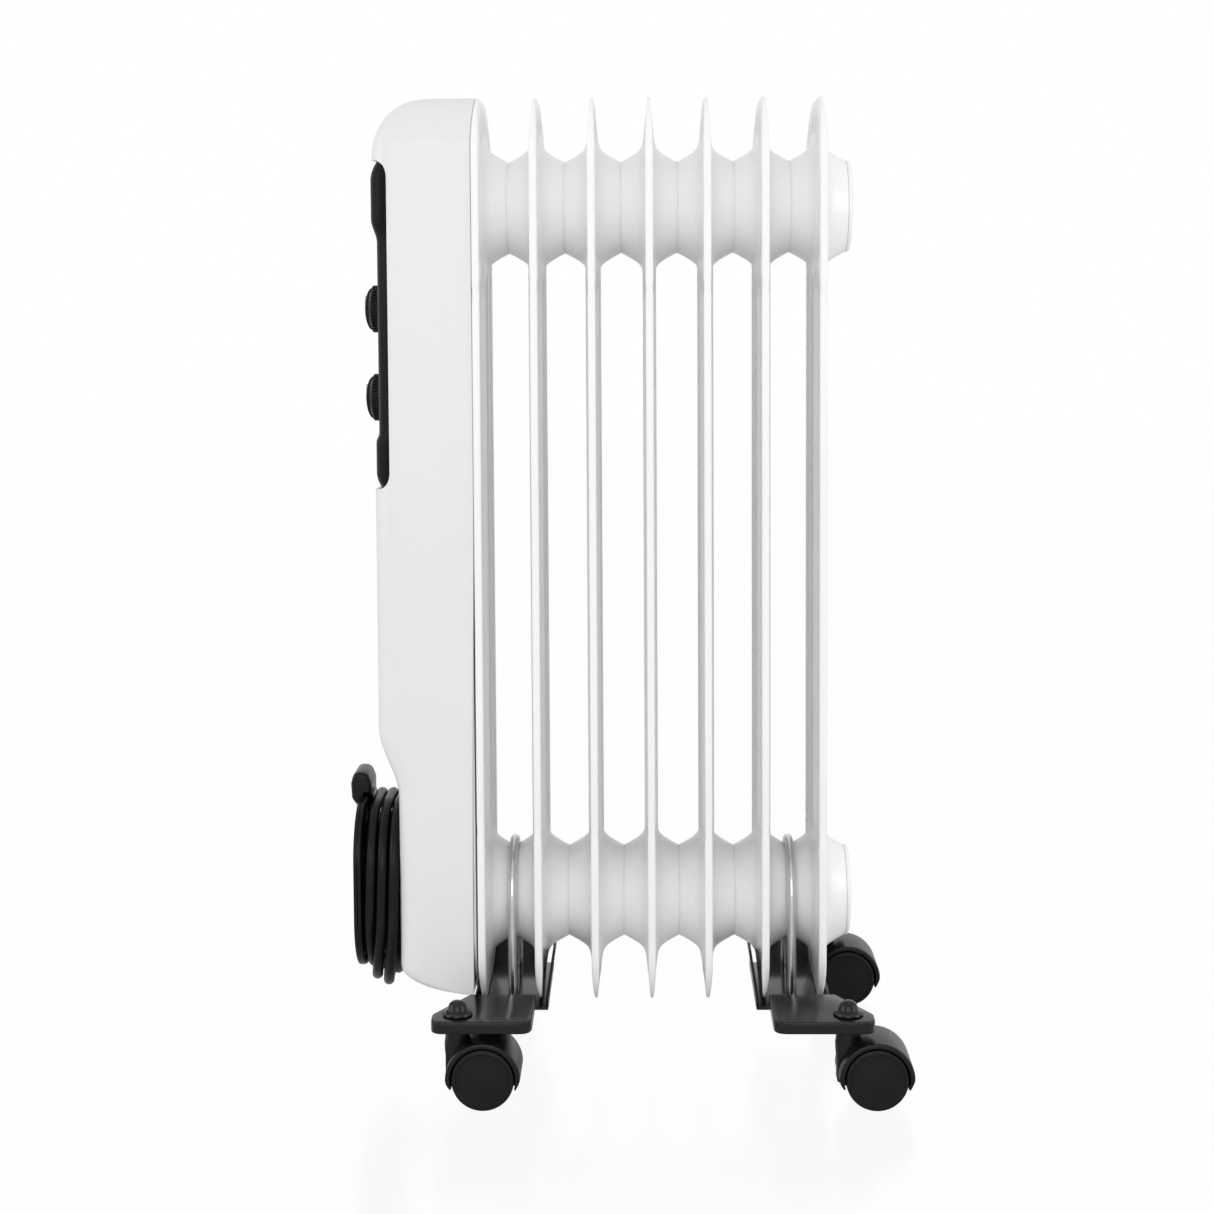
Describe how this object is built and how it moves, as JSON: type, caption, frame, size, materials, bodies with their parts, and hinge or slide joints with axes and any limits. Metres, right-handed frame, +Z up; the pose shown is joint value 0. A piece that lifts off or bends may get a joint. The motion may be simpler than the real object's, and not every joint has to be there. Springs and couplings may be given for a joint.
{
  "type": "oil filled radiator heater",
  "caption": "Free-standing oil filled radiator: a row of pressed steel fins, a control housing with two knobs, a cord winder and swivel casters.",
  "frame": {"origin": "middle of the heater's footprint, on the floor", "axes": "+Z up, +X along the row of fins away from the control housing, +Y through the depth; the side shown first faces -Y"},
  "size_m": [0.3701, 0.2464, 0.6466],
  "materials": {
    "white_paint": "glossy white baked enamel",
    "white_cover": "satin white baked enamel",
    "black_plastic": "fine-textured black moulding",
    "knob_plastic": "satin black moulding",
    "winder_plastic": "glossy black moulding",
    "plug_plastic": "moulded black PVC",
    "cord_sheath": "round black PVC sheath",
    "cream_plastic": "heat-resistant cream moulding",
    "lamp_lens": "clear amber lens",
    "black_enamel": "semi-gloss black enamel on pressed steel",
    "bolt_steel": "bright zinc-plated steel rod",
    "zinc": "bright zinc plating",
    "brass": "machined brass",
    "element_steel": "oil-dark steel sheath",
    "hood_plastic": "semi-gloss black nylon",
    "wheel_rubber": "charcoal nylon wheel"
  },
  "bodies": {
    "root": {"fin_1": "white_paint", "fin_2": "white_paint", "fin_3": "white_paint", "fin_4": "white_paint", "fin_5": "white_paint", "fin_6": "white_paint", "fin_7": "white_paint", "upper_end_cap": "white_paint", "lower_end_cap": "white_paint", "upper_inner_cap": "white_paint", "oil_filler_plug": "zinc", "element_flange": "brass", "heating_element_600w": "element_steel", "heating_element_900w": "element_steel", "housing_cover": "white_cover", "housing_back_plate": "white_cover", "control_panel": "black_plastic", "thermostat": "cream_plastic", "selector_switch": "cream_plastic", "indicator_lamp": "lamp_lens", "thermal_cutout": "cream_plastic", "tip_over_switch": "black_plastic", "terminal_block": "cream_plastic", "cord_clamp": "black_plastic", "cord_gland": "black_plastic", "cord_winder": "winder_plastic", "plug": "plug_plastic", "cord_tail": "cord_sheath", "cord_coil": "cord_sheath", "foot_left": "black_enamel", "u_bolt_left": "bolt_steel", "wing_nut_left_front": "zinc", "wing_nut_left_rear": "zinc", "foot_right": "black_enamel", "u_bolt_right": "bolt_steel", "wing_nut_right_front": "zinc", "wing_nut_right_rear": "zinc", "caster_pin_left_front": "black_enamel", "caster_pin_left_rear": "black_enamel", "caster_pin_right_front": "black_enamel", "caster_pin_right_rear": "black_enamel"},
    "thermostat_dial": {"thermostat_knob": "knob_plastic"},
    "selector_dial": {"selector_knob": "knob_plastic"},
    "swivel_left_front": {"caster_hood_left_front": "hood_plastic", "caster_axle_left_front": "zinc"},
    "wheel_left_front_a": {"wheel_left_front_a": "wheel_rubber"},
    "wheel_left_front_b": {"wheel_left_front_b": "wheel_rubber"},
    "swivel_left_rear": {"caster_hood_left_rear": "hood_plastic", "caster_axle_left_rear": "zinc"},
    "wheel_left_rear_a": {"wheel_left_rear_a": "wheel_rubber"},
    "wheel_left_rear_b": {"wheel_left_rear_b": "wheel_rubber"},
    "swivel_right_front": {"caster_hood_right_front": "hood_plastic", "caster_axle_right_front": "zinc"},
    "wheel_right_front_a": {"wheel_right_front_a": "wheel_rubber"},
    "wheel_right_front_b": {"wheel_right_front_b": "wheel_rubber"},
    "swivel_right_rear": {"caster_hood_right_rear": "hood_plastic", "caster_axle_right_rear": "zinc"},
    "wheel_right_rear_a": {"wheel_right_rear_a": "wheel_rubber"},
    "wheel_right_rear_b": {"wheel_right_rear_b": "wheel_rubber"}
  },
  "joints": [
    {"name": "thermostat_turn", "type": "hinge", "parent": "root", "child": "thermostat_dial", "pos_m": [-0.17265, 0, 0.5086], "axis": [-1, 0, 0], "range_deg": [0, 280]},
    {"name": "selector_turn", "type": "hinge", "parent": "root", "child": "selector_dial", "pos_m": [-0.17265, 0, 0.449], "axis": [-1, 0, 0], "range_deg": [0, 270]},
    {"name": "swivel_turn_left_front", "type": "hinge", "parent": "root", "child": "swivel_left_front", "pos_m": [-0.10645, -0.104, 0.05], "axis": [0, 0, 1], "continuous": true},
    {"name": "roll_left_front_a", "type": "hinge", "parent": "swivel_left_front", "child": "wheel_left_front_a", "pos_m": [-0.08945, -0.104, 0.01989], "axis": [0, 1, 0], "continuous": true},
    {"name": "roll_left_front_b", "type": "hinge", "parent": "swivel_left_front", "child": "wheel_left_front_b", "pos_m": [-0.08945, -0.104, 0.01989], "axis": [0, 1, 0], "continuous": true},
    {"name": "swivel_turn_left_rear", "type": "hinge", "parent": "root", "child": "swivel_left_rear", "pos_m": [-0.10645, 0.104, 0.05], "axis": [0, 0, 1], "continuous": true},
    {"name": "roll_left_rear_a", "type": "hinge", "parent": "swivel_left_rear", "child": "wheel_left_rear_a", "pos_m": [-0.08945, 0.104, 0.01989], "axis": [0, 1, 0], "continuous": true},
    {"name": "roll_left_rear_b", "type": "hinge", "parent": "swivel_left_rear", "child": "wheel_left_rear_b", "pos_m": [-0.08945, 0.104, 0.01989], "axis": [0, 1, 0], "continuous": true},
    {"name": "swivel_turn_right_front", "type": "hinge", "parent": "root", "child": "swivel_right_front", "pos_m": [0.14415, -0.104, 0.05], "axis": [0, 0, 1], "continuous": true},
    {"name": "roll_right_front_a", "type": "hinge", "parent": "swivel_right_front", "child": "wheel_right_front_a", "pos_m": [0.16115, -0.104, 0.01989], "axis": [0, 1, 0], "continuous": true},
    {"name": "roll_right_front_b", "type": "hinge", "parent": "swivel_right_front", "child": "wheel_right_front_b", "pos_m": [0.16115, -0.104, 0.01989], "axis": [0, 1, 0], "continuous": true},
    {"name": "swivel_turn_right_rear", "type": "hinge", "parent": "root", "child": "swivel_right_rear", "pos_m": [0.14415, 0.104, 0.05], "axis": [0, 0, 1], "continuous": true},
    {"name": "roll_right_rear_a", "type": "hinge", "parent": "swivel_right_rear", "child": "wheel_right_rear_a", "pos_m": [0.16115, 0.104, 0.01989], "axis": [0, 1, 0], "continuous": true},
    {"name": "roll_right_rear_b", "type": "hinge", "parent": "swivel_right_rear", "child": "wheel_right_rear_b", "pos_m": [0.16115, 0.104, 0.01989], "axis": [0, 1, 0], "continuous": true}
  ]
}
